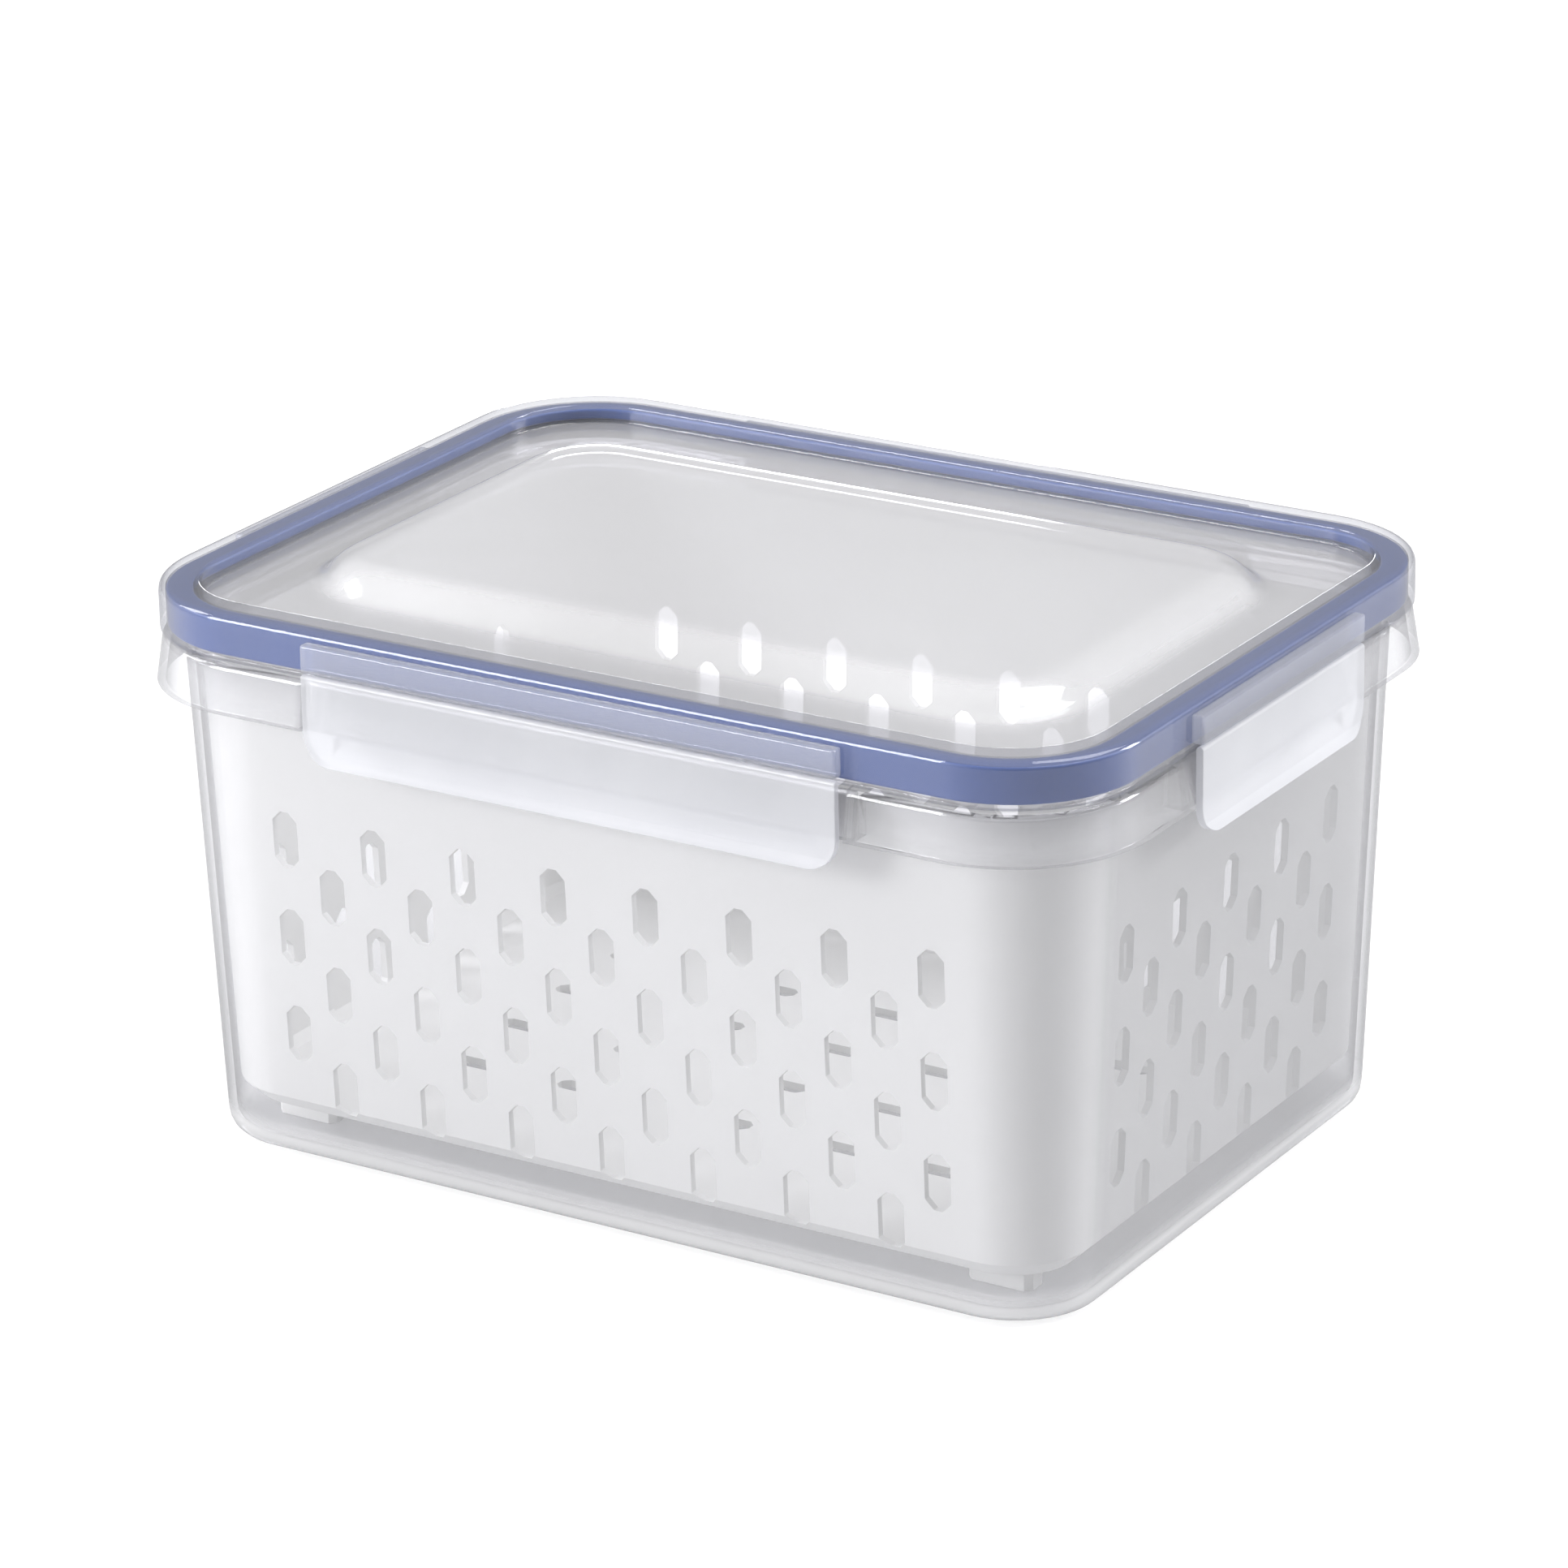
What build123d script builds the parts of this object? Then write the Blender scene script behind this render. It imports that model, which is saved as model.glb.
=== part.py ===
from build123d import *
from math import atan2, cos, degrees, radians, tan
import os

# Produce keeper: a clear tub with a draining basket inside, closed by a clear lid that
# carries a soft seal and four fold-down latches. Millimetres. The origin is at the middle
# of the tub's underside, +X runs along the length, +Y to the back and +Z up.

# Lid outline, which the tub's collar and the latches also follow
LID_LENGTH = 248.0
LID_WIDTH = 182.8
LID_CORNER = 31.4

# Clearances
RUNNING_GAP = 0.4
SEAT_GAP = 0.2
SEAL_FIT = 0.1

# Tub
BASE_INSET = 10.3
DRAFT = 2.34
TUB_WALL = 2.0
TUB_FLOOR = 2.6
TUB_FOOT_BEVEL = 3.4
FOOT_RING_WIDTH = 10.0
FOOT_RING_DEPTH = 0.6

# Collar: a flange round the tub's mouth with a lip that turns down
COLLAR_HEIGHT = 11.7
COLLAR_WALL = 2.0
COLLAR_FLARE = 1.3
COLLAR_LEAN = 1.9
COLLAR_BEVEL = 1.4
LATCH_SEAT_INSET = 0.3
GUSSET_WALL = 1.8
LATCH_END_GAP = 1.2

# Lid
LID_TOP = 133.6
LID_WALL = 1.6
SKIRT_HEIGHT = 10.8
SKIRT_GAP = 0.8
RING_WIDTH = 9.5
RING_BEVEL = 1.2
PANEL_DROP = 4.6
PLUG_DEPTH = 9.0

# Raised window in the lid
DOME_END_MARGIN = 16.5
DOME_SIDE_MARGIN = 22.9
DOME_CORNER = 22.0
DOME_RISE = 5.8
DOME_SLOPE = 40.0
DOME_CROWN_RADIUS = 3000.0
DOME_CROWN_RISE = 1.4
DOME_CREST_BEVEL = 1.5

# Seal
SEAL_LEG = 2.8
SEAL_WEB = 2.6
SEAL_EDGE = 0.6

# Latches
FRONT_LATCH_LENGTH = 137.0
SIDE_LATCH_LENGTH = 76.0
LATCH_WALL = 1.8
LATCH_TAIL = 6.4
LATCH_CORNER = 7.0
HINGE_BAR_HEIGHT = 6.6
HINGE_BAR_ROUND = 0.6
HINGE_BAR_BEVEL = 0.9
HOOK_HEIGHT = 2.6
HOOK_BEVEL = 1.2
HOOK_REACH = 1.7
FINGER_REACH = 0.8
FINGER_HEIGHT = 3.0

# Basket
BASKET_GAP = 1.6
BASKET_WALL = 1.8
DRAIN_HEIGHT = 6.4
BASKET_HEADROOM = 2.6
BASKET_BEVEL = 4.0
BASKET_RIM_REACH = 1.1
BASKET_RIM_HEIGHT = 2.4
FOOT_LENGTH = 16.0
FOOT_WIDTH = 7.0
FOOT_BEVEL = 1.5
FOOT_INSET_X = 18.0
FOOT_INSET_Y = 14.0

# Draining slots
SLOT_WIDTH = 6.5
SLOT_HEIGHT = 13.5
SLOT_PITCH = 12.0
SLOT_ROW_PITCH = 24.0
SLOT_CORNER = 2.2
SLOT_FLOOR_GAP = 0.45
SLOT_ROWS = 3
FRONT_SLOT_COLUMNS = 15
SIDE_SLOT_COLUMNS = 9
FLOOR_SLOT_LENGTH = 20.0
FLOOR_SLOT_WIDTH = 5.0
FLOOR_SLOT_CORNER = 1.5
FLOOR_SLOT_PITCH_X = 32.0
FLOOR_SLOT_PITCH_Y = 24.0
FLOOR_SLOT_COLUMNS = 5
FLOOR_SLOT_ROWS = 4

# Sizes that follow from those above
BASE_LENGTH = LID_LENGTH - 2 * BASE_INSET
BASE_WIDTH = LID_WIDTH - 2 * BASE_INSET
BASE_CORNER = LID_CORNER - BASE_INSET
SKIRT_BOTTOM = LID_TOP - SKIRT_HEIGHT
COLLAR_TOP = SKIRT_BOTTOM - SKIRT_GAP
COLLAR_BOTTOM = COLLAR_TOP - COLLAR_HEIGHT
CHANNEL_TOP = LID_TOP - LID_WALL
PANEL_TOP = LID_TOP - PANEL_DROP
PLUG_BOTTOM = PANEL_TOP - PLUG_DEPTH
DOME_LENGTH = LID_LENGTH - 2 * (RING_WIDTH + DOME_END_MARGIN)
DOME_WIDTH = LID_WIDTH - 2 * (RING_WIDTH + DOME_SIDE_MARGIN)
SEAL_TOP = CHANNEL_TOP - SEAL_FIT
TUB_HEIGHT = SEAL_TOP - SEAL_WEB - RUNNING_GAP
BASKET_BASE = TUB_FLOOR + DRAIN_HEIGHT
BASKET_TOP = PLUG_BOTTOM - BASKET_HEADROOM
LATCH_OUTER = RUNNING_GAP + LATCH_WALL
HINGE_HEIGHT = SKIRT_BOTTOM + RUNNING_GAP
HINGE_RADIUS = LATCH_WALL / 2
HINGE_OFFSET = RUNNING_GAP + HINGE_RADIUS
HINGE_BAR_BOTTOM = HINGE_HEIGHT + HINGE_RADIUS + RUNNING_GAP
HOOK_TOP = COLLAR_BOTTOM - RUNNING_GAP
LATCH_BOTTOM = HOOK_TOP - LATCH_TAIL
COLLAR_ANGLE = degrees(atan2(COLLAR_LEAN, COLLAR_TOP - COLLAR_BOTTOM))
LEVEL = 0.001

# Each side of the keeper, in order round it: its distance out and its latch's length
SIDES = {
    "front": (LID_WIDTH / 2, FRONT_LATCH_LENGTH),
    "right": (LID_LENGTH / 2, SIDE_LATCH_LENGTH),
    "back": (LID_WIDTH / 2, FRONT_LATCH_LENGTH),
    "left": (LID_LENGTH / 2, SIDE_LATCH_LENGTH),
}


def around(piece_for):
    """What a function makes for each side's distance and latch length, turned to its side."""
    turn = 360 / len(SIDES)
    return [Rot(0, 0, index * turn) * piece_for(*side) for index, side in enumerate(SIDES.values())]


def lid_form(offset, low, high):
    """The lid's outline, moved out by an offset, as an upright block between two heights."""
    outline = RectangleRounded(LID_LENGTH + 2 * offset, LID_WIDTH + 2 * offset, LID_CORNER + offset)
    return extrude(Pos(0, 0, low) * outline, amount=high - low)


def tub_form(inset, low, high):
    """The tub's drafted form between two heights, moved in by an inset."""
    out = low * tan(radians(DRAFT)) - inset
    outline = RectangleRounded(BASE_LENGTH + 2 * out, BASE_WIDTH + 2 * out, BASE_CORNER + out)
    return extrude(Pos(0, 0, low) * outline, amount=high - low, taper=-DRAFT)


def level_edges(solid, height):
    """The edges of a solid at one height."""
    return solid.edges().filter_by_position(Axis.Z, height - LEVEL, height + LEVEL)


def front_block(reach, length, near, far, low, high):
    """A block along the front side, between two offsets from the lid's outline."""
    return Pos(0, -reach - (near + far) / 2, (low + high) / 2) * Box(length, far - near, high - low)


def leaning_form(offset, height):
    """An upright block on the collar's underside that leans in as the lip does."""
    outline = RectangleRounded(LID_LENGTH + 2 * offset, LID_WIDTH + 2 * offset, LID_CORNER + offset)
    return extrude(Pos(0, 0, COLLAR_BOTTOM) * outline, amount=height, taper=COLLAR_ANGLE)


def collar_form(offset):
    """The collar's filled form, with its lip at an offset from the lid's outline."""
    form = leaning_form(offset, COLLAR_TOP - COLLAR_BOTTOM)
    return chamfer(level_edges(form, COLLAR_TOP), COLLAR_BEVEL)


def collar_shell(offset):
    """The collar with the open space under its flange."""
    return collar_form(offset) - leaning_form(offset - COLLAR_WALL, COLLAR_TOP - COLLAR_WALL - COLLAR_BOTTOM)


def latch_bays(extra):
    """The bays of the collar where the latches fold down, longer by an extra at each end."""

    def bay(reach, length):
        bay_length = length + 2 * (LATCH_END_GAP + extra)
        return front_block(reach, bay_length, -LID_CORNER / 2, LID_CORNER, 0, LID_TOP)

    return Part() + around(bay)


def make_container():
    """The tub, with a foot ring below and a collar that steps in behind each latch."""
    outside = tub_form(0, 0, TUB_HEIGHT)
    outside = chamfer(level_edges(outside, 0), TUB_FOOT_BEVEL)
    bays = latch_bays(0)
    gussets = collar_form(COLLAR_FLARE) & (latch_bays(GUSSET_WALL) - bays)
    collar = (collar_shell(COLLAR_FLARE) - bays) + (collar_shell(-LATCH_SEAT_INSET) & bays) + gussets
    cavity = tub_form(TUB_WALL, TUB_FLOOR, TUB_HEIGHT + TUB_WALL)
    cavity = chamfer(level_edges(cavity, TUB_FLOOR), TUB_FOOT_BEVEL - TUB_WALL / 2)
    recess = tub_form(TUB_FOOT_BEVEL + FOOT_RING_WIDTH, 0, FOOT_RING_DEPTH)
    return outside + collar - cavity - recess


def dome_form(inset, drop):
    """The raised window's filled form, moved in by an inset and down by a drop."""
    foot = RectangleRounded(DOME_LENGTH - 2 * inset, DOME_WIDTH - 2 * inset, DOME_CORNER - inset)
    height = DOME_RISE + DOME_CROWN_RISE
    form = extrude(Pos(0, 0, PANEL_TOP - drop) * foot, amount=height, taper=DOME_SLOPE)
    crown = Pos(0, 0, PANEL_TOP - drop + height - DOME_CROWN_RADIUS) * Sphere(DOME_CROWN_RADIUS)
    form = form & crown
    return chamfer(form.faces().sort_by(Axis.Z)[-1].edges(), DOME_CREST_BEVEL)


def hinge_bar(reach, length):
    """The bar on the lid's skirt that a latch hangs from."""
    inner = -reach + LID_WALL / 2
    outer = -reach - LATCH_OUTER
    top = HINGE_BAR_BOTTOM + HINGE_BAR_HEIGHT
    section = Polygon(
        (inner, HINGE_BAR_BOTTOM),
        (inner, top),
        (outer + HINGE_BAR_ROUND, top),
        (outer, top - HINGE_BAR_ROUND),
        (outer, HINGE_BAR_BOTTOM + HINGE_BAR_BEVEL),
        (outer + HINGE_BAR_BEVEL, HINGE_BAR_BOTTOM),
        align=None,
    )
    return extrude(Plane.YZ * section, amount=length / 2, both=True)


def make_lid():
    """The lid: a ring with a hollow channel, a sunk panel and a raised window."""
    ring = chamfer(level_edges(lid_form(0, SKIRT_BOTTOM, LID_TOP), LID_TOP), RING_BEVEL)
    ring -= lid_form(-RING_WIDTH, 0, LID_TOP)
    ring += around(hinge_bar)
    ring -= lid_form(-LID_WALL, 0, CHANNEL_TOP) - lid_form(LID_WALL - RING_WIDTH, 0, CHANNEL_TOP)
    plug = lid_form(LID_WALL - RING_WIDTH, PLUG_BOTTOM, PANEL_TOP)
    lid = ring + plug + dome_form(0, 0)
    slope = radians(DOME_SLOPE)
    dome_inset = LID_WALL * (1 / cos(slope) - tan(slope))
    return lid - lid_form(-RING_WIDTH, 0, PANEL_TOP - LID_WALL) - dome_form(dome_inset, LID_WALL)


def make_seal():
    """The seal in the lid's channel: a web that the tub's edge meets and a leg in the skirt."""
    outer = LID_WALL + SEAL_FIT
    inner = RING_WIDTH - LID_WALL - SEAL_FIT
    web = lid_form(-outer, SEAL_TOP - SEAL_WEB, SEAL_TOP) - lid_form(-inner, 0, LID_TOP)
    leg = lid_form(-outer, SKIRT_BOTTOM + SEAL_EDGE, SEAL_TOP) - lid_form(-outer - SEAL_LEG, 0, LID_TOP)
    return web + leg


def make_latch(reach, length):
    """One latch, drawn for the front: a hinge bead, a flap, a hook rib and a finger edge."""
    inner = -reach - RUNNING_GAP
    outer = -reach - LATCH_OUTER
    flap = Polygon(
        (inner, LATCH_BOTTOM),
        (inner, HINGE_HEIGHT),
        (outer, HINGE_HEIGHT),
        (outer, LATCH_BOTTOM + FINGER_HEIGHT),
        (outer - FINGER_REACH, LATCH_BOTTOM),
        align=None,
    )
    bead = Pos(-reach - HINGE_OFFSET, HINGE_HEIGHT) * Circle(HINGE_RADIUS)
    body = extrude(Plane.YZ * (flap + bead), amount=length / 2, both=True)
    height = HINGE_HEIGHT - LATCH_BOTTOM
    plan = Pos(0, LATCH_BOTTOM + height) * RectangleRounded(length, 2 * height, LATCH_CORNER)
    body &= extrude(Plane.XZ * plan, amount=LID_LENGTH, both=True)
    tip = -reach + HOOK_REACH
    hook = Polygon(
        (inner, HOOK_TOP - HOOK_HEIGHT - HOOK_BEVEL),
        (tip, HOOK_TOP - HOOK_BEVEL),
        (tip, HOOK_TOP),
        (inner, HOOK_TOP),
        align=None,
    )
    return body + extrude(Plane.YZ * hook, amount=length / 2 - LATCH_CORNER, both=True)


def slot(length, width, corner):
    """The outline of one slot, its corners cut off."""
    outline = Rectangle(length, width)
    return chamfer(outline.vertices(), corner)


def slot_field(columns, plane):
    """Staggered upright slots, cut right through the basket square to a plane."""
    lowest = BASKET_BASE + BASKET_WALL + SLOT_FLOOR_GAP + SLOT_HEIGHT / 2
    field = Sketch()
    for column in range(columns):
        x = (column - (columns - 1) / 2) * SLOT_PITCH
        lift = (1 - column % 2) * SLOT_ROW_PITCH / 2
        for row in range(SLOT_ROWS):
            z = lowest + lift + row * SLOT_ROW_PITCH
            field += Pos(x, z) * slot(SLOT_WIDTH, SLOT_HEIGHT, SLOT_CORNER)
    return extrude(plane * field, amount=LID_LENGTH, both=True)


def floor_slots():
    """The draining slots through the basket's floor."""
    slots = Sketch()
    for place in GridLocations(FLOOR_SLOT_PITCH_X, FLOOR_SLOT_PITCH_Y, FLOOR_SLOT_COLUMNS, FLOOR_SLOT_ROWS):
        slots += place * slot(FLOOR_SLOT_LENGTH, FLOOR_SLOT_WIDTH, FLOOR_SLOT_CORNER)
    return extrude(slots, amount=BASKET_BASE + BASKET_WALL)


def make_basket():
    """The draining basket, standing on four feet inside the tub."""
    inset = TUB_WALL + BASKET_GAP
    outside = tub_form(inset, BASKET_BASE, BASKET_TOP)
    outside = chamfer(level_edges(outside, BASKET_BASE), BASKET_BEVEL)
    rim = tub_form(inset - BASKET_RIM_REACH, BASKET_TOP - BASKET_RIM_HEIGHT, BASKET_TOP)
    inside = tub_form(inset + BASKET_WALL, BASKET_BASE + BASKET_WALL, BASKET_TOP)
    inside = chamfer(level_edges(inside, BASKET_BASE + BASKET_WALL), BASKET_BEVEL - BASKET_WALL)
    basket = outside + rim - inside
    basket = basket - slot_field(FRONT_SLOT_COLUMNS, Plane.XZ) - slot_field(SIDE_SLOT_COLUMNS, Plane.YZ)
    basket -= floor_slots()
    foot_x = BASE_LENGTH / 2 - inset - FOOT_INSET_X
    foot_y = BASE_WIDTH / 2 - inset - FOOT_INSET_Y
    foot_low = TUB_FLOOR + SEAT_GAP
    for place in GridLocations(2 * foot_x, 2 * foot_y, 2, 2):
        foot = place * slot(FOOT_LENGTH, FOOT_WIDTH, FOOT_BEVEL)
        basket += extrude(Pos(0, 0, foot_low) * foot, amount=BASKET_BASE + BASKET_WALL - foot_low)
    return basket


NODES = {
    "container": make_container(),
    "strainer_basket": make_basket(),
    "lid": make_lid(),
    "lid_seal": make_seal(),
}
for side, latch in zip(SIDES, around(make_latch)):
    NODES[f"latch_{side}"] = latch

os.makedirs("parts", exist_ok=True)
for name, solid in NODES.items():
    export_step(solid, f"parts/{name}.step")
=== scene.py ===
from math import cos, radians, sin
import bpy
from mathutils import Matrix, Vector


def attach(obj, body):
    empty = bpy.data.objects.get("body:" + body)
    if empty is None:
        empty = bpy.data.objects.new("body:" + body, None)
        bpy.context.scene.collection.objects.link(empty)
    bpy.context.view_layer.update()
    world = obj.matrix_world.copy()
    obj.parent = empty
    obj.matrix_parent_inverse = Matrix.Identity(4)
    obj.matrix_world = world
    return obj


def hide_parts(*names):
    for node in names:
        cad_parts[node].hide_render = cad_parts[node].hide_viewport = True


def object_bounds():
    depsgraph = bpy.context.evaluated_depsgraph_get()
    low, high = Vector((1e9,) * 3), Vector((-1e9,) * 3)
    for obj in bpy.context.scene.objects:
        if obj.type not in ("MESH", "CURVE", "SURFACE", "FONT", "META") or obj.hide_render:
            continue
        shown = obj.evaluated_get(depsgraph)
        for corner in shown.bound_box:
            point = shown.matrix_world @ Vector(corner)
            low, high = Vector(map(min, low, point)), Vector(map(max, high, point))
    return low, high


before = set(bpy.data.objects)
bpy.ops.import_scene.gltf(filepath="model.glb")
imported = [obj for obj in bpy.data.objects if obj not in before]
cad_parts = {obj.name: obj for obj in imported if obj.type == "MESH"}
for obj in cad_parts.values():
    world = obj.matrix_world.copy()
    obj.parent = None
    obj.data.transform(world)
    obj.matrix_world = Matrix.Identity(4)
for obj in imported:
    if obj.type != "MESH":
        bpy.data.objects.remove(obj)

# Dresses the produce keeper: a clear tub and lid, four frosted latches, a white draining
# basket and a blue seal. Metres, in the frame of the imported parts.

CAD_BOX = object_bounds()
MM = 0.001

# Clearances
RUNNING_GAP = 0.4 * MM
SEAL_FIT = 0.1 * MM

# How far a closed latch stands out of the lid, and the window's crown over its rim
LATCH_REACH = 3.0 * MM
CROWN_OVER_RIM = 2.6 * MM

# Lid. An outline is half its length, half its width and its corner
LID_OUTLINE = (CAD_BOX[1].x - LATCH_REACH, CAD_BOX[1].y - LATCH_REACH, 31.4 * MM)
LID_TOP = CAD_BOX[1].z - CROWN_OVER_RIM
LID_WALL = 1.6 * MM
RING_WIDTH = 9.5 * MM
PANEL_TOP = LID_TOP - 4.6 * MM
SKIRT_BOTTOM = LID_TOP - 10.8 * MM
PLUG_BOTTOM = PANEL_TOP - 9.0 * MM
RIM_SOFT = 2.4 * MM
RING_SOFT = 0.9 * MM
PANEL_SOFT = 0.7 * MM
LIP_SOFT = 0.4 * MM

# Raised window in the lid
DOME_END_MARGIN = 16.5 * MM
DOME_SIDE_MARGIN = 22.9 * MM
DOME_CORNER = 22.0 * MM
DOME_OUTLINE = (
    LID_OUTLINE[0] - RING_WIDTH - DOME_END_MARGIN,
    LID_OUTLINE[1] - RING_WIDTH - DOME_SIDE_MARGIN,
    DOME_CORNER,
)
DOME_RISE = 6.2 * MM
DOME_SLOPE = 0.84
DOME_SLANT = 0.75 * MM
DOME_FOOT_SOFT = 3.0 * MM
DOME_CREST_SOFT = 5.0 * MM
CROWN_RISE = 0.95 * MM
CROWN_STEPS = 5

# Seal in the lid's channel
SEAL_TOP = LID_TOP - LID_WALL - SEAL_FIT
SEAL_WEB = 2.6 * MM
SEAL_LEG = 2.8 * MM
SEAL_EDGE = 0.6 * MM
SEAL_SOFT = 0.8 * MM

# Tub: its foot lies inside the lid's outline and its walls lean out
BASE_INSET = 10.3 * MM
TUB_LEAN = 0.0409
TUB_TOP = SEAL_TOP - SEAL_WEB - RUNNING_GAP
TUB_WALL = 2.0 * MM
TUB_FLOOR = 2.6 * MM
TUB_EDGE_SOFT = 0.6 * MM
FOOT_SOFT = 5.0 * MM
FOOT_HIGH = 9.0 * MM
FOOT_RING = 13.4 * MM
FOOT_RECESS = 0.6 * MM
FOOT_RING_SOFT = 0.2 * MM

# Collar round the tub's mouth, and the bays in it where the latches lie
COLLAR_TOP = SKIRT_BOTTOM - 0.8 * MM
COLLAR_BOTTOM = COLLAR_TOP - 11.7 * MM
COLLAR_FLARE = 1.3 * MM
COLLAR_LEAN = 1.9 * MM
COLLAR_WALL = 2.0 * MM
COLLAR_ROOT = 6.4 * MM
COLLAR_SOFT = 2.0 * MM
COLLAR_EDGE_SOFT = 0.3 * MM
COLLAR_INSIDE_SOFT = 0.5 * MM
BAY_INSET = 1.6 * MM
BAY_GAP = 1.2 * MM
GUSSET_WALL = 1.8 * MM

# Bars that the latches hang from
HINGE_RADIUS = 0.9 * MM
BAR_LOW = SKIRT_BOTTOM + 2 * RUNNING_GAP + HINGE_RADIUS
BAR_HEIGHT = 6.6 * MM
BAR_REACH = 2.2 * MM
BAR_SOFT = 0.6 * MM
FRONT_BAR = 137.0 * MM
SIDE_BAR = 76.0 * MM

# Each side of the keeper: which way it faces and how long its bar and latch are
SIDES = {
    "front": (Vector((0, -1)), FRONT_BAR),
    "back": (Vector((0, 1)), FRONT_BAR),
    "left": (Vector((-1, 0)), SIDE_BAR),
    "right": (Vector((1, 0)), SIDE_BAR),
}

# How finely the shapes are drawn
CORNER_STEPS = 14
SOFT_STEPS = 5
BAR_SOFT_STEPS = 4
EDGE_ROUND = 0.25 * MM
EDGE_STEPS = 2
MERGE = 0.004 * MM
SMOOTH_ANGLE = radians(35)
EDGE_ANGLE = radians(38)
FLAT_ANGLE = radians(0.05)

# How far a level stretch runs on past a soft corner, as a share of the corner's size
FLAT_RUN = 1.5

# The photograph's camera, as its outlines gave it: place, turn and lens
PHOTO_SIZE = 1932
CAMERA_AZIMUTH = radians(31.81)
CAMERA_ELEVATION = radians(20.71)
CAMERA_ROLL = radians(-0.967)
CAMERA_DISTANCE = 1507.9 * MM
CAMERA_SHIFT_RIGHT = -1.65 * MM
CAMERA_SHIFT_UP = 75.05 * MM
FOCAL_PIXELS = 7986.0
SENSOR = 36.0

# Studio. Each lamp has its place, the point that it faces, its size and its power
FLOOR_SIZE = 12.0
FLOOR_DROP = 0.3 * MM
FLOOR_GLOW = 0.68
SKY_STRENGTH = 0.36
LAMPS = {
    "key_left": ((-1.9, -0.6, 1.4), (0, 0, 0.06), 0.9, 47),
    "front_fill": ((-1.4, -2.0, 0.9), (0, 0, 0.06), 0.9, 60),
    "top": ((0.7, 0.5, 1.8), (0, 0, 0.1), 1.3, 46),
    "right_back": ((1.7, 1.5, 1.0), (0, 0, 0.07), 0.7, 42),
    "back_left": ((-1.1, 1.75, 0.24), (0, 0, 0.13), 0.42, 7),
}


def select_only(pieces):
    """Selects some objects and nothing else, with the first of them active."""
    bpy.ops.object.select_all(action="DESELECT")
    for piece in pieces:
        piece.select_set(True)
    bpy.context.view_layer.objects.active = pieces[0]


def start_edit(piece):
    """Opens an object's mesh for editing, with all of it selected."""
    select_only([piece])
    bpy.ops.object.mode_set(mode="EDIT")
    bpy.ops.mesh.select_all(action="SELECT")


def end_edit():
    bpy.ops.object.mode_set(mode="OBJECT")


def named(piece, name):
    """Gives an object and its mesh the same name."""
    piece.name = name
    piece.data.name = name
    return piece


def apply_modifiers(piece):
    """Applies every modifier of a piece, in order."""
    select_only([piece])
    for modifier in list(piece.modifiers):
        bpy.ops.object.modifier_apply(modifier=modifier.name)


def finish_surface(piece):
    """Smooth curves, with flat walls that stay flat."""
    select_only([piece])
    bpy.ops.object.shade_smooth_by_angle(angle=SMOOTH_ANGLE)
    piece.modifiers.new("flat walls", "WEIGHTED_NORMAL").keep_sharp = True
    apply_modifiers(piece)


def together(pieces):
    """Separate shells as one object."""
    select_only(pieces)
    bpy.ops.object.join()
    return pieces[0]


def joined(name, strips):
    """Strips made into one smooth closed shell whose faces point outwards."""
    piece = named(together(strips), name)
    start_edit(piece)
    bpy.ops.mesh.remove_doubles(threshold=MERGE)
    bpy.ops.mesh.normals_make_consistent(inside=False)
    end_edit()
    finish_surface(piece)
    return piece


def combined(piece, operation, *tools):
    """A piece after each tool is cut from it, kept of it or added to it."""
    for tool in tools:
        change = piece.modifiers.new("change", "BOOLEAN")
        change.operation = operation
        change.solver = "EXACT"
        change.object = tool
        apply_modifiers(piece)
        bpy.data.objects.remove(tool)
    return piece


def offset(outline, out):
    """An outline moved out by a distance, or in where it is negative."""
    return tuple(size + out for size in outline)


def softened(profile):
    """A profile of steps out and heights, each corner with a size turned into a curve."""
    curve = []
    for index, (out, height, soft) in enumerate(profile):
        here = Vector((out, height))
        if not soft:
            curve.append(here)
            continue
        before = (Vector(profile[index - 1][:2]) - here).normalized() * soft
        after = (Vector(profile[(index + 1) % len(profile)][:2]) - here).normalized() * soft
        for step in range(SOFT_STEPS + 1):
            share = step / SOFT_STEPS
            curve.append(here + before * (1 - share) ** 2 + after * share ** 2)
    return curve


def sections(outline, profile):
    """The level sections that a profile gives as it runs round an outline: outline and height."""
    return [(offset(outline, out), height) for out, height in softened(profile)]


def start_sections(*levels):
    """Opens a new mesh that holds a rounded plate of no thickness for each section."""
    bpy.ops.object.select_all(action="DESELECT")
    bpy.ops.object.add(type="MESH")
    bpy.ops.object.mode_set(mode="EDIT")
    for (half_x, half_y, corner), height in levels:
        bpy.ops.mesh.primitive_plane_add(size=2, location=(0, 0, height))
        bpy.ops.transform.resize(value=(half_x, half_y, 1))
        bpy.ops.mesh.bevel(offset=corner, segments=CORNER_STEPS, affect="VERTICES")


def wall_between(first, second):
    """One strip of wall from one section to the next."""
    start_sections(first, second)
    bpy.ops.mesh.select_all(action="SELECT")
    bpy.ops.mesh.delete(type="ONLY_FACE")
    bpy.ops.mesh.select_all(action="SELECT")
    bpy.ops.mesh.bridge_edge_loops()
    end_edit()
    return bpy.context.object


def walls_through(rings):
    """The strips of wall that lead through a row of sections."""
    return [wall_between(*pair) for pair in zip(rings, rings[1:])]


def cap(section):
    """A rounded plate that closes a shell."""
    start_sections(section)
    end_edit()
    return bpy.context.object


def closed_shell(name, rings):
    """A row of sections as a shell, with a cap at each end."""
    return joined(name, walls_through(rings) + [cap(rings[0]), cap(rings[-1])])


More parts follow.
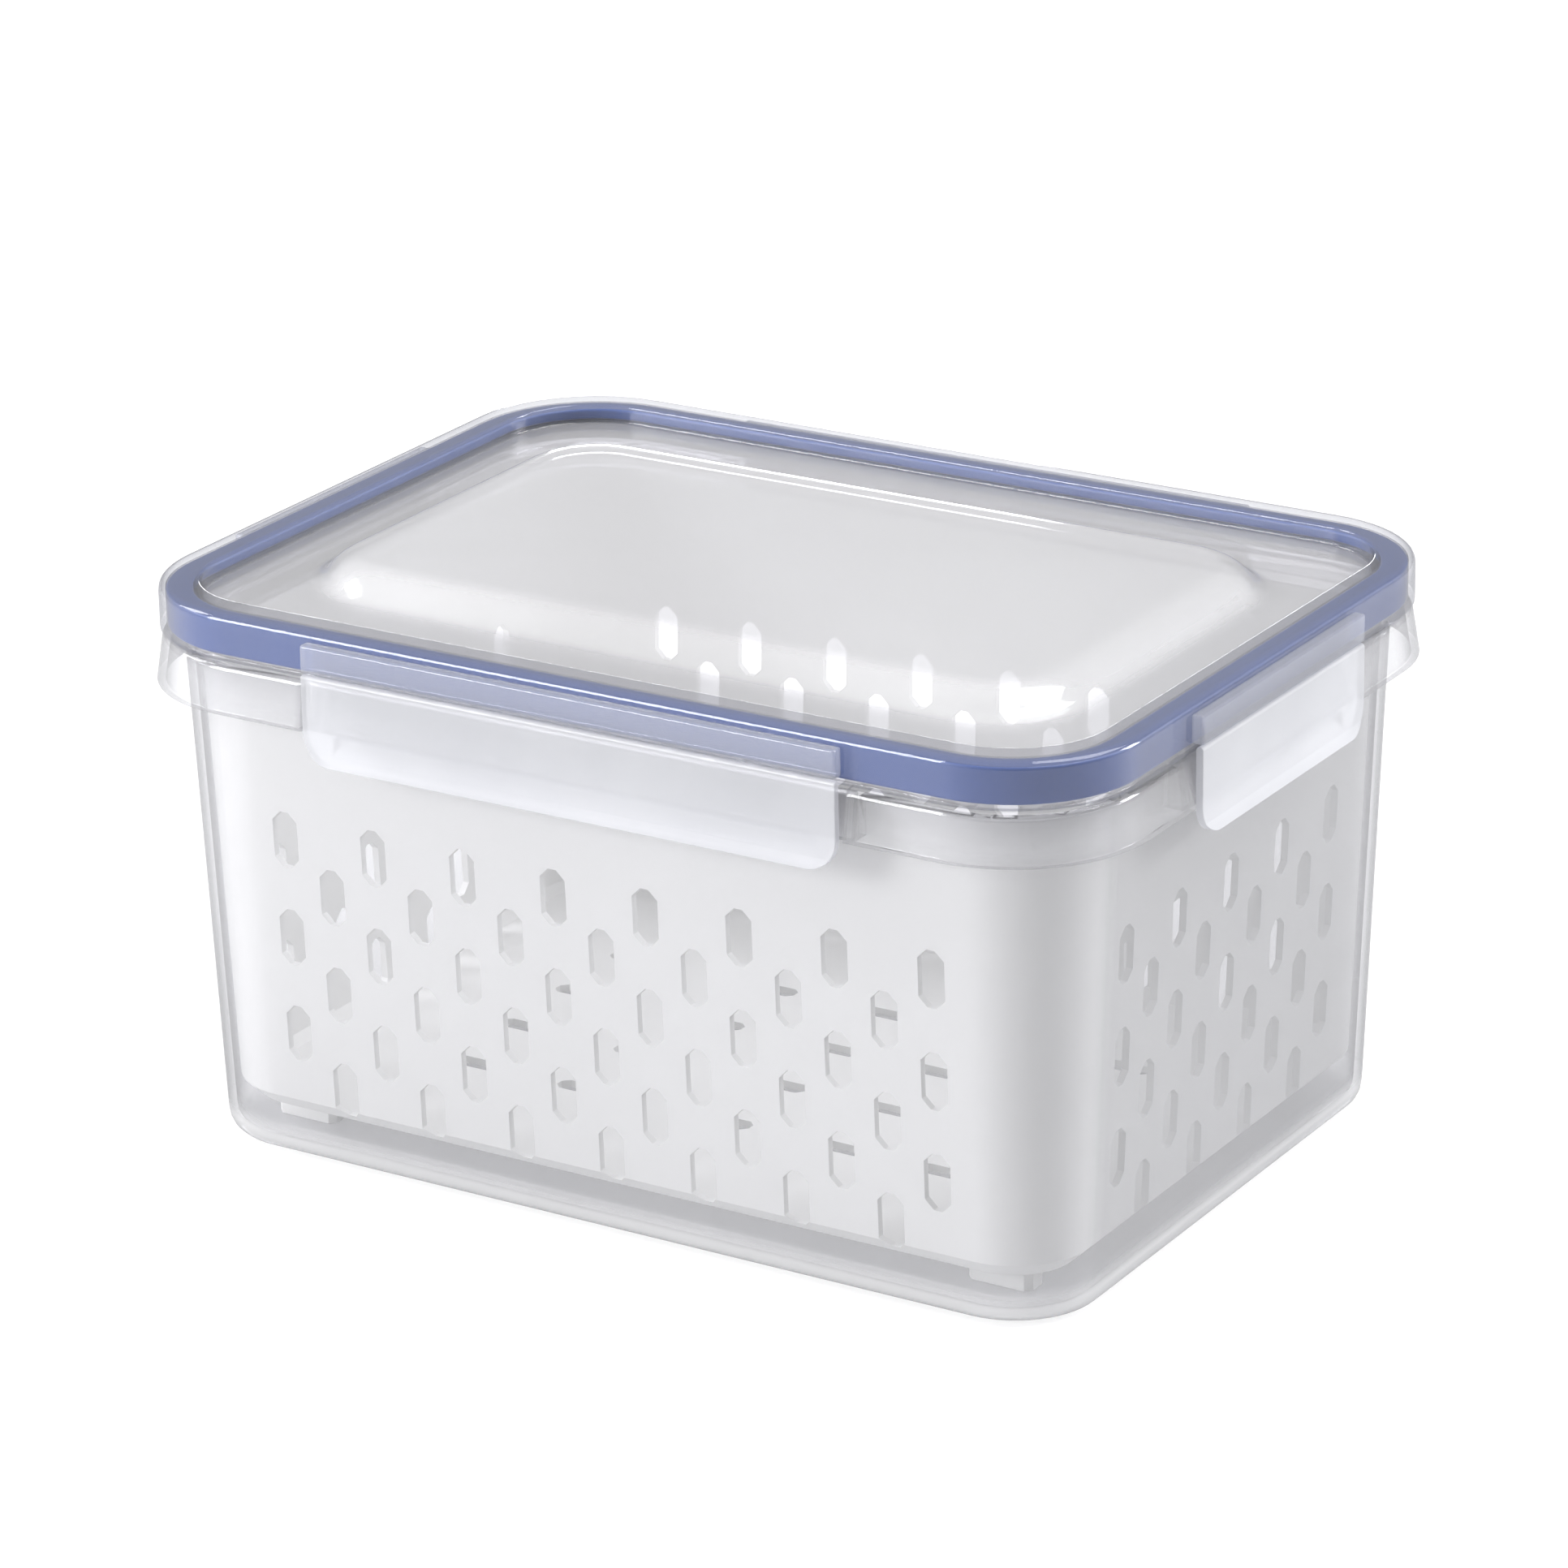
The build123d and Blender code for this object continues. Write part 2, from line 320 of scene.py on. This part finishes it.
def closed_ring(name, outline, profile):
    """A closed profile carried round an outline."""
    rings = sections(outline, profile)
    return joined(name, walls_through(rings + rings[:1]))


def make_box(near, far):
    """A box from one corner to another."""
    bpy.ops.object.select_all(action="DESELECT")
    bpy.ops.mesh.primitive_cube_add(size=1)
    piece = bpy.context.object
    size = Vector(far) - Vector(near)
    start_edit(piece)
    bpy.ops.transform.resize(value=size)
    bpy.ops.transform.translate(value=Vector(near) + size / 2)
    end_edit()
    return piece


def lid_reach(side):
    """How far the lid's outline lies out on a side."""
    return LID_OUTLINE[0] if side.x else LID_OUTLINE[1]


def side_box(side, start, stop, near, far, low=0.0, high=LID_TOP):
    """A box on one side: from start to stop along the side, from near to far outwards."""
    along = Vector((abs(side.y), abs(side.x)))
    first = along * start + side * near
    last = along * stop + side * far
    left, right = sorted((first.x, last.x))
    front, back = sorted((first.y, last.y))
    return make_box((left, front, low), (right, back, high))


def crown(outline, height):
    """Sections that shrink and climb from the crest of the window to its middle."""
    rings = []
    for step in range(1, CROWN_STEPS):
        share = 1 - step / CROWN_STEPS
        rings.append((tuple(size * share for size in outline), height + CROWN_RISE * (1 - share ** 2)))
    return rings


def make_lid_shell():
    """The clear lid: a rim over the channel, a skirt, a sunk panel and a raised window."""
    crest_top = PANEL_TOP + DOME_RISE
    crest_out = -DOME_RISE * DOME_SLOPE
    window_over = [
        (crest_out - DOME_CREST_SOFT * FLAT_RUN, crest_top, 0),
        (crest_out, crest_top, DOME_CREST_SOFT),
        (0, PANEL_TOP, DOME_FOOT_SOFT),
        (DOME_FOOT_SOFT * FLAT_RUN, PANEL_TOP, 0),
    ]
    window_under = [
        (out - DOME_SLANT, height - LID_WALL, soft) for out, height, soft in reversed(window_over)
    ]
    ring_inside = -RING_WIDTH
    plug_inside = ring_inside + LID_WALL
    panel_edge = ring_inside - 2 * LID_WALL
    rim = [
        (panel_edge, PANEL_TOP, 0),
        (ring_inside, PANEL_TOP, PANEL_SOFT),
        (ring_inside, LID_TOP, RING_SOFT),
        (0, LID_TOP, RIM_SOFT),
        (0, SKIRT_BOTTOM, LIP_SOFT),
        (-LID_WALL, SKIRT_BOTTOM, LIP_SOFT),
        (-LID_WALL, LID_TOP - LID_WALL, 0),
        (plug_inside, LID_TOP - LID_WALL, 0),
        (plug_inside, PLUG_BOTTOM, LIP_SOFT),
        (ring_inside, PLUG_BOTTOM, LIP_SOFT),
        (ring_inside, PANEL_TOP - LID_WALL, PANEL_SOFT),
        (panel_edge, PANEL_TOP - LID_WALL, 0),
    ]
    over = sections(DOME_OUTLINE, window_over)
    under = sections(DOME_OUTLINE, window_under)
    crown_over = crown(*over[0])
    crown_under = crown(*under[-1])
    rings = crown_over[::-1] + over + sections(LID_OUTLINE, rim) + under + crown_under
    return closed_shell("lid_shell", rings)


def make_seal_ring():
    """The soft seal: a flat web that the tub's edge meets and a leg down inside the skirt."""
    outer = -LID_WALL - SEAL_FIT
    inner = -RING_WIDTH + LID_WALL + SEAL_FIT
    profile = [
        (outer, SEAL_TOP, SEAL_SOFT),
        (inner, SEAL_TOP, SEAL_SOFT),
        (inner, SEAL_TOP - SEAL_WEB, SEAL_SOFT),
        (outer - SEAL_LEG, SEAL_TOP - SEAL_WEB, SEAL_SOFT),
        (outer - SEAL_LEG, SKIRT_BOTTOM + SEAL_EDGE, SEAL_SOFT),
        (outer, SKIRT_BOTTOM + SEAL_EDGE, SEAL_SOFT),
    ]
    return closed_ring("seal_ring", LID_OUTLINE, profile)


def make_collar(inset, hollow):
    """The collar as a ring: a lip that leans in and, where it is hollow, a space under its flange."""
    out = COLLAR_FLARE - inset
    profile = [
        (out, COLLAR_BOTTOM, COLLAR_EDGE_SOFT),
        (out - COLLAR_LEAN, COLLAR_TOP, COLLAR_SOFT),
        (-COLLAR_ROOT, COLLAR_TOP, 0),
    ]
    if hollow:
        ceiling = COLLAR_TOP - COLLAR_WALL
        lean = COLLAR_LEAN * (ceiling - COLLAR_BOTTOM) / (COLLAR_TOP - COLLAR_BOTTOM)
        profile += [
            (-COLLAR_ROOT, ceiling, 0),
            (out - COLLAR_WALL - lean, ceiling, COLLAR_INSIDE_SOFT),
            (out - COLLAR_WALL, COLLAR_BOTTOM, COLLAR_EDGE_SOFT),
        ]
    else:
        profile.append((-COLLAR_ROOT, COLLAR_BOTTOM, 0))
    return closed_ring("collar", LID_OUTLINE, profile)


def make_tub_shell():
    """The clear tub with its collar, the bays in the collar and the gussets at their ends."""
    foot_outline = offset(LID_OUTLINE, -BASE_INSET)
    mouth_out = TUB_TOP * TUB_LEAN
    floor_out = TUB_FLOOR * TUB_LEAN - TUB_WALL
    profile = [
        (-FOOT_RING, FOOT_RECESS, 0),
        (-FOOT_RING, 0, FOOT_RING_SOFT),
        (0, 0, FOOT_SOFT),
        (mouth_out, TUB_TOP, TUB_EDGE_SOFT),
        (mouth_out - TUB_WALL, TUB_TOP, TUB_EDGE_SOFT),
        (floor_out, TUB_FLOOR, FOOT_SOFT - TUB_WALL),
        (floor_out - FOOT_RING, TUB_FLOOR, 0),
    ]
    tub = closed_shell("tub_shell", sections(foot_outline, profile))
    bays, seats, gussets = [], [], []
    for side, length in SIDES.values():
        half = length / 2 + BAY_GAP
        inside = lid_reach(side) - LID_OUTLINE[2] / 2
        outside = lid_reach(side) + LID_OUTLINE[2]
        bays.append(side_box(side, -half, half, inside, outside))
        seats.append(side_box(side, -half, half, inside, outside))
        for end in (-half - GUSSET_WALL, half):
            gussets.append(side_box(side, end, end + GUSSET_WALL, inside, outside))
    lip = combined(make_collar(0, hollow=True), "DIFFERENCE", together(bays))
    seat = combined(make_collar(BAY_INSET, hollow=True), "INTERSECT", together(seats))
    gusset = combined(make_collar(0, hollow=False), "INTERSECT", together(gussets))
    combined(tub, "UNION", lip, seat, gusset)
    finish_surface(tub)
    return tub


def make_hinge_bar(name, side, length):
    """The rounded bar that a latch hangs from, on one side of the skirt."""
    near = lid_reach(side) - LID_WALL / 2
    far = lid_reach(side) + BAR_REACH
    bar = side_box(side, -length / 2, length / 2, near, far, BAR_LOW, BAR_LOW + BAR_HEIGHT)
    start_edit(named(bar, name))
    bpy.ops.mesh.bevel(offset=BAR_SOFT, segments=BAR_SOFT_STEPS, affect="EDGES")
    end_edit()
    finish_surface(bar)
    return bar


def moulded_copy(name, node):
    """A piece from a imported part: its faces joined, its edges rounded and its curves smooth."""
    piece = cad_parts[node].copy()
    piece.data = piece.data.copy()
    piece.parent = None
    bpy.context.scene.collection.objects.link(piece)
    start_edit(named(piece, name))
    bpy.ops.mesh.remove_doubles(threshold=MERGE)
    bpy.ops.mesh.dissolve_limited(angle_limit=FLAT_ANGLE)
    end_edit()
    bevel = piece.modifiers.new("edge", "BEVEL")
    bevel.width = EDGE_ROUND
    bevel.segments = EDGE_STEPS
    bevel.limit_method = "ANGLE"
    bevel.angle_limit = EDGE_ANGLE
    apply_modifiers(piece)
    finish_surface(piece)
    return piece


class Field:
    """A value that changes over a surface. Arithmetic on it adds the shader's own maths."""

    def __init__(self, finish, socket):
        self.finish = finish
        self.socket = socket

    def __add__(self, other):
        return self.finish.math("ADD", self, other)

    __radd__ = __add__

    def __sub__(self, other):
        return self.finish.math("SUBTRACT", self, other)

    def __rsub__(self, other):
        return self.finish.math("SUBTRACT", other, self)

    def __mul__(self, other):
        return self.finish.math("MULTIPLY", self, other)

    __rmul__ = __mul__

    def __pow__(self, other):
        return self.finish.math("POWER", self, other)

    def clamped(self):
        """The value kept between 0 and 1."""
        return self.finish.math("MAXIMUM", self.finish.math("MINIMUM", self, 1.0), 0.0)

    def ramp(self, low, high):
        """0 below low, 1 above high, with a smooth rise between."""
        inputs = {"Value": self, "From Min": low, "From Max": high}
        return self.finish.node("ShaderNodeMapRange", {"interpolation_type": "SMOOTHSTEP"}, inputs)


class Finish:
    """A material built node by node."""

    def __init__(self, name):
        self.material = bpy.data.materials.new(name)
        self.material.use_nodes = True
        self.tree = self.material.node_tree
        self.tree.nodes.clear()

    def node(self, kind, settings=None, inputs=None, output=0):
        """Adds a node: its settings first, then its sockets. Returns one of its outputs."""
        made = self.tree.nodes.new(kind)
        for key, value in (settings or {}).items():
            setattr(made, key, value)
        for key, value in (inputs or {}).items():
            if isinstance(value, Field):
                self.tree.links.new(value.socket, made.inputs[key])
            else:
                made.inputs[key].default_value = value
        return Field(self, made.outputs[output])

    def math(self, operation, *values):
        """One step of arithmetic on values."""
        return self.node("ShaderNodeMath", {"operation": operation}, dict(enumerate(values)))

    def place(self):
        """Where a point is on the piece, in metres."""
        return self.node("ShaderNodeTexCoord", output="Object")

    def along(self, axis):
        """How far a point is from the middle along X or Y, or its height for Z."""
        return self.node("ShaderNodeSeparateXYZ", inputs={"Vector": self.place()}, output=axis)

    def beyond(self, outline):
        """How far a point lies outside an outline: less than 0 inside it."""
        half_x, half_y, corner = outline
        past_x = self.math("ABSOLUTE", self.along("X")) - (half_x - corner)
        past_y = self.math("ABSOLUTE", self.along("Y")) - (half_y - corner)
        round_corner = self.math("SQRT", past_x.clamped() ** 2.0 + past_y.clamped() ** 2.0)
        straight = self.math("MINIMUM", self.math("MAXIMUM", past_x, past_y), 0.0)
        return round_corner + straight - corner

    def noise(self, scale, detail):
        """Soft clouds or fine grain, with so many of them in a metre."""
        inputs = {"Vector": self.place(), "Scale": scale, "Detail": detail}
        return self.node("ShaderNodeTexNoise", inputs=inputs)

    def turned_away(self):
        """0 where a surface faces the eye, 1 where it turns away."""
        return self.node("ShaderNodeLayerWeight", inputs={"Blend": 0.5}, output="Facing")

    def blend(self, factor, first, second):
        """One colour turning into another. A Mix node's colours are sockets 6 and 7, and output 2."""
        inputs = {"Factor": factor, 6: first, 7: second}
        return self.node("ShaderNodeMix", {"data_type": "RGBA"}, inputs, output=2)

    def bump(self, height, distance):
        """Relief too fine to model, shown at less than its full strength."""
        inputs = {"Height": height, "Distance": distance, "Strength": 0.4}
        return self.node("ShaderNodeBump", inputs=inputs)

    def plastic(self, colour, roughness, **others):
        """A Principled shader. A socket's name has underscores for its spaces here."""
        inputs = {"Base Color": colour, "Roughness": roughness}
        for key, value in others.items():
            inputs[key.replace("_", " ")] = value
        return self.node("ShaderNodeBsdfPrincipled", inputs=inputs)

    def see_through(self, tint):
        """Light that passes straight on, coloured by a tint."""
        return self.node("ShaderNodeBsdfTransparent", inputs={"Color": tint})

    def shine_through(self, colour):
        """Light that is scattered on its way through a thin wall."""
        return self.node("ShaderNodeBsdfTranslucent", inputs={"Color": colour})

    def layered(self, share, below, above):
        """Two shaders mixed, with a share of the one above."""
        return self.node("ShaderNodeMixShader", inputs={0: share, 1: below, 2: above})

    def material_with(self, shader):
        """The material, with a shader on its surface."""
        out = self.tree.nodes.new("ShaderNodeOutputMaterial")
        self.tree.links.new(shader.socket, out.inputs["Surface"])
        return self.material


def rgb(red, green, blue):
    """A colour from its screen values, 0 to 255, as the shaders' linear one."""
    linear = []
    for value in (red, green, blue):
        share = value / 255
        linear.append(share / 12.92 if share <= 0.04045 else ((share + 0.055) / 1.055) ** 2.4)
    return (*linear, 1.0)


# What the polish of clear plastic shows face on, and at an edge that turns away: painted grey shade
# there, in place of the dark edges that refraction gives in clear walls
POLISH_WHITE = rgb(252, 252, 253)
PAINTED_EDGE_GREY = rgb(96, 97, 102)


def clear_moulding(finish, milk, body, tint, painted_edge_tint, painted_edge_reflection, edge_milk=0.12):
    """Clear polished plastic: see-through face on, glossier where it turns away, and greyer there by
    painted shade in its edge tint and edge reflection colour.
    """
    turned = finish.turned_away()
    flow = finish.noise(35.0, 3.0)
    haze = finish.noise(9.0, 2.0)
    # Painted shade: the light that passes straight on turns to a grey edge tint where the surface turns
    # away
    passed = finish.see_through(finish.blend(turned ** 3.0, tint, painted_edge_tint))
    colour = finish.blend(haze, body, rgb(252, 252, 252))
    cloudy = finish.layered(
        0.4,
        finish.plastic(colour, 0.3 + 0.1 * flow),
        finish.shine_through(colour),
    )
    cloudy_share = (milk + 0.02 * haze + edge_milk * turned ** 2.0).clamped()
    walls = finish.layered(cloudy_share, passed, cloudy)
    # The reflection's colour turns from white to the edge colour as the surface turns away: painted
    # grey shade where that colour is grey
    polish = finish.plastic(
        finish.blend(turned ** 2.0, POLISH_WHITE, painted_edge_reflection),
        0.06 + 0.06 * flow,
        Metallic=1.0,
    )
    glint_share = (0.03 + 0.6 * turned ** 4.0).clamped()
    return finish.material_with(finish.layered(glint_share, walls, polish))


def clear_tub():
    """The tub: clear, with a little more milk in its collar and most in its thick foot."""
    finish = Finish("clear_tub")
    height = finish.along("Z")
    collar = height.ramp(COLLAR_BOTTOM - MM, COLLAR_BOTTOM)
    foot = 1 - height.ramp(FOOT_HIGH / 2, FOOT_HIGH)
    return clear_moulding(
        finish,
        milk=0.03 + 0.05 * collar + 0.22 * foot,
        body=rgb(240, 240, 241),
        tint=rgb(247, 247, 248),
        # Painted grey shade at the tub's turned-away edges, in its see-through tint and in its
        # reflection
        painted_edge_tint=rgb(96, 97, 103),
        painted_edge_reflection=PAINTED_EDGE_GREY,
        edge_milk=0.2,
    )


def clear_lid():
    """The lid: milky in its panel, clear in its rim and skirt."""
    finish = Finish("clear_lid")
    panel = 1 - finish.beyond(offset(LID_OUTLINE, -RING_WIDTH)).ramp(-0.6 * MM, 0.2 * MM)
    window = 1 - finish.beyond(DOME_OUTLINE).ramp(-2.0 * MM, 1.0 * MM)
    return clear_moulding(
        finish,
        milk=0.01 + 0.18 * panel + 0.03 * window,
        body=rgb(248, 247, 248),
        tint=rgb(252, 252, 253),
        # Painted grey shade in the see-through tint at every turned-away edge, and in the edge
        # reflection outside the window; in the window the edge reflection is white
        painted_edge_tint=rgb(120, 122, 132),
        painted_edge_reflection=finish.blend(window, PAINTED_EDGE_GREY, rgb(252, 252, 254)),
    )


def milky_bar():
    """The hinge bars: solid plastic, cloudier than the thin walls."""
    return clear_moulding(
        Finish("milky_bar"),
        milk=0.15,
        body=rgb(236, 238, 246),
        tint=rgb(248, 249, 253),
        # Painted bluish-grey shade at the bars' turned-away edges, in their see-through tint and in
        # their reflection
        painted_edge_tint=rgb(110, 116, 136),
        painted_edge_reflection=PAINTED_EDGE_GREY,
    )


def frosted_latch():
    """Translucent plastic with a fine satin grain on the flaps."""
    finish = Finish("frosted_latch")
    turned = finish.turned_away()
    grain = finish.noise(900.0, 2.0)
    cloud = finish.noise(30.0, 2.0)
    satin = finish.plastic(
        finish.blend(cloud, rgb(209, 210, 214), rgb(217, 218, 221)),
        0.34 + 0.12 * cloud,
        IOR=1.5,
        Coat_Weight=0.3,
        Normal=finish.bump(grain, 0.03 * MM),
    )
    share = (0.34 + 0.08 * cloud + 0.1 * turned ** 2.0).clamped()
    return finish.material_with(finish.layered(share, finish.see_through(rgb(249, 249, 251)), satin))


def white_basket():
    """White polypropylene that lets some light through its thin walls."""
    finish = Finish("white_basket")
    cloud = finish.noise(18.0, 3.0)
    grain = finish.noise(700.0, 2.0)
    colour = finish.blend(cloud, rgb(229, 229, 228), rgb(235, 235, 234))
    wall = finish.plastic(
        colour,
        0.38 + 0.12 * cloud,
        IOR=1.49,
        Normal=finish.bump(grain, 0.03 * MM),
    )
    return finish.material_with(finish.layered(0.14, wall, finish.shine_through(colour)))


def blue_seal():
    """Soft blue silicone, satin with a light bloom."""
    finish = Finish("blue_seal")
    cloud = finish.noise(45.0, 3.0)
    grain = finish.noise(1200.0, 2.0)
    silicone = finish.plastic(
        finish.blend(cloud, rgb(30, 62, 126), rgb(38, 72, 138)),
        0.38 + 0.12 * cloud,
        Sheen_Weight=0.2,
        Normal=finish.bump(grain, 0.02 * MM),
    )
    return finish.material_with(silicone)


def pale_floor():
    """The pale surface that the keeper stands on, lit from within so that it stays white."""
    finish = Finish("pale_floor")
    speckle = finish.noise(40.0, 3.0)
    surface = finish.plastic(
        finish.blend(speckle, rgb(146, 146, 147), rgb(152, 152, 153)),
        0.6,
        Emission_Color=rgb(255, 255, 255),
        Emission_Strength=FLOOR_GLOW,
    )
    return finish.material_with(surface)


FINISHES = {
    "clear_tub": clear_tub(),
    "clear_lid": clear_lid(),
    "milky_bar": milky_bar(),
    "frosted_latch": frosted_latch(),
    "white_basket": white_basket(),
    "blue_seal": blue_seal(),
}


def dress(piece, body, finish, node=None):
    """Gives a piece its finish and its body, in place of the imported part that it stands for."""
    piece.data.materials.clear()
    piece.data.materials.append(FINISHES[finish])
    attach(piece, body)
    if node:
        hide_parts(node)


def add_floor():
    """The studio's floor, just under the keeper."""
    bpy.ops.object.select_all(action="DESELECT")
    bpy.ops.mesh.primitive_plane_add(size=FLOOR_SIZE, location=(0, 0, -FLOOR_DROP))
    floor = bpy.context.object
    floor.name = "studio_floor"
    floor.data.materials.append(pale_floor())


def add_lamp(name, place, target, size, power):
    """A square softbox at a place, turned to a target."""
    light = bpy.data.lights.new(name, "AREA")
    light.size = size
    light.energy = power
    lamp = bpy.data.objects.new(name, light)
    way = Vector(target) - Vector(place)
    lamp.matrix_world = Matrix.Translation(place) @ way.to_track_quat("-Z", "Y").to_matrix().to_4x4()
    bpy.context.scene.collection.objects.link(lamp)


def add_camera():
    """The camera at the photograph's viewing angle, distance and lens."""
    back = Vector((
        sin(CAMERA_AZIMUTH) * cos(CAMERA_ELEVATION),
        -cos(CAMERA_AZIMUTH) * cos(CAMERA_ELEVATION),
        sin(CAMERA_ELEVATION),
    ))
    right = Vector((cos(CAMERA_AZIMUTH), sin(CAMERA_AZIMUTH), 0))
    up = back.cross(right)
    place = right * CAMERA_SHIFT_RIGHT + up * CAMERA_SHIFT_UP + back * CAMERA_DISTANCE
    rolled_right = right * cos(CAMERA_ROLL) + up * sin(CAMERA_ROLL)
    rolled_up = up * cos(CAMERA_ROLL) - right * sin(CAMERA_ROLL)
    axes = Matrix((rolled_right, rolled_up, back)).transposed()
    data = bpy.data.cameras.new("photo_camera")
    data.sensor_width = SENSOR
    data.lens = FOCAL_PIXELS / PHOTO_SIZE * SENSOR
    camera = bpy.data.objects.new("photo_camera", data)
    camera.matrix_world = Matrix.Translation(place) @ axes.to_4x4()
    bpy.context.scene.collection.objects.link(camera)
    bpy.context.scene.camera = camera


def add_sky():
    """An even white light from all round."""
    world = bpy.data.worlds.new("studio")
    bpy.context.scene.world = world
    world.use_nodes = True
    sky = world.node_tree.nodes["Background"]
    sky.inputs["Color"].default_value = (1, 1, 1, 1)
    sky.inputs["Strength"].default_value = SKY_STRENGTH


dress(make_tub_shell(), "container", "clear_tub", node="container")
dress(moulded_copy("basket_shell", "strainer_basket"), "basket", "white_basket", node="strainer_basket")
dress(make_lid_shell(), "lid", "clear_lid", node="lid")
dress(make_seal_ring(), "lid", "blue_seal", node="lid_seal")
for name, (side, length) in SIDES.items():
    latch = f"latch_{name}"
    dress(moulded_copy(f"{name}_flap", latch), latch, "frosted_latch", node=latch)
    dress(make_hinge_bar(f"{name}_bar", side, length), "lid", "milky_bar")

add_floor()
add_camera()
add_sky()
for name, lamp in LAMPS.items():
    add_lamp(name, *lamp)
bpy.context.scene.view_settings.view_transform = "Standard"
